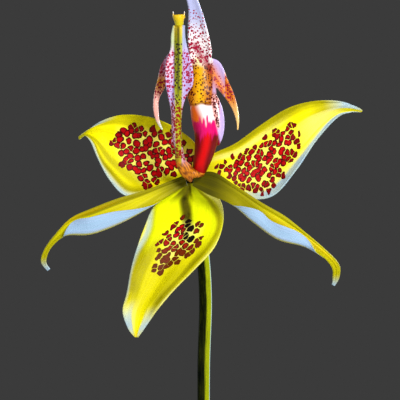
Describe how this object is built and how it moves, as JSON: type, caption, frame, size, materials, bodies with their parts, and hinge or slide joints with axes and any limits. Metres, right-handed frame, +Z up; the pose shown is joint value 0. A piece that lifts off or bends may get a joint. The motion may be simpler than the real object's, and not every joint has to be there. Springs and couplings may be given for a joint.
{
  "type": "potted orchid",
  "caption": "Potted orchid: a large spotted yellow and red flower on an upright stem above ribbed pseudobulbs with pleated arching leaves, in a round clay pot of bark.",
  "frame": {"origin": "middle of the pot's underside, on the ground", "axes": "+Z up along the pot's axis; the flower faces -Y, and +X is on the right seen from its front"},
  "size_m": [0.3647, 0.2317, 0.4215],
  "materials": {
    "sepal": "satin, fleshy; yellow with dark red spots",
    "petal": "satin, fleshy; olive yellow with a pale folded flap",
    "lip": "waxy; white, gold and magenta with red spots",
    "column": "satin; lime green with pale wings",
    "anther": "satin; golden yellow",
    "stem": "satin; yellow green",
    "sheath": "matte; dry and papery",
    "pseudobulb": "satin; ribbed green",
    "leaf": "satin; pleated dark green",
    "root": "matte; pale grey-white",
    "bark": "matte; rough brown bark",
    "clay": "matte; unglazed fired clay"
  },
  "bodies": {
    "root": {"dorsal_sepal": "sepal", "lateral_sepal_left": "sepal", "lateral_sepal_right": "sepal", "petal_left": "petal", "petal_right": "petal", "lip": "lip", "column": "column", "anther_cap": "anther", "flower_stem": "stem", "stem_sheath_lower": "sheath", "stem_sheath_upper": "sheath", "pseudobulb_left": "pseudobulb", "pseudobulb_middle": "pseudobulb", "pseudobulb_right": "pseudobulb", "leaf_left": "leaf", "leaf_middle": "leaf", "leaf_right": "leaf", "rhizome_and_roots": "root", "bark_mix": "bark", "pot": "clay"}
  },
  "joints": []
}
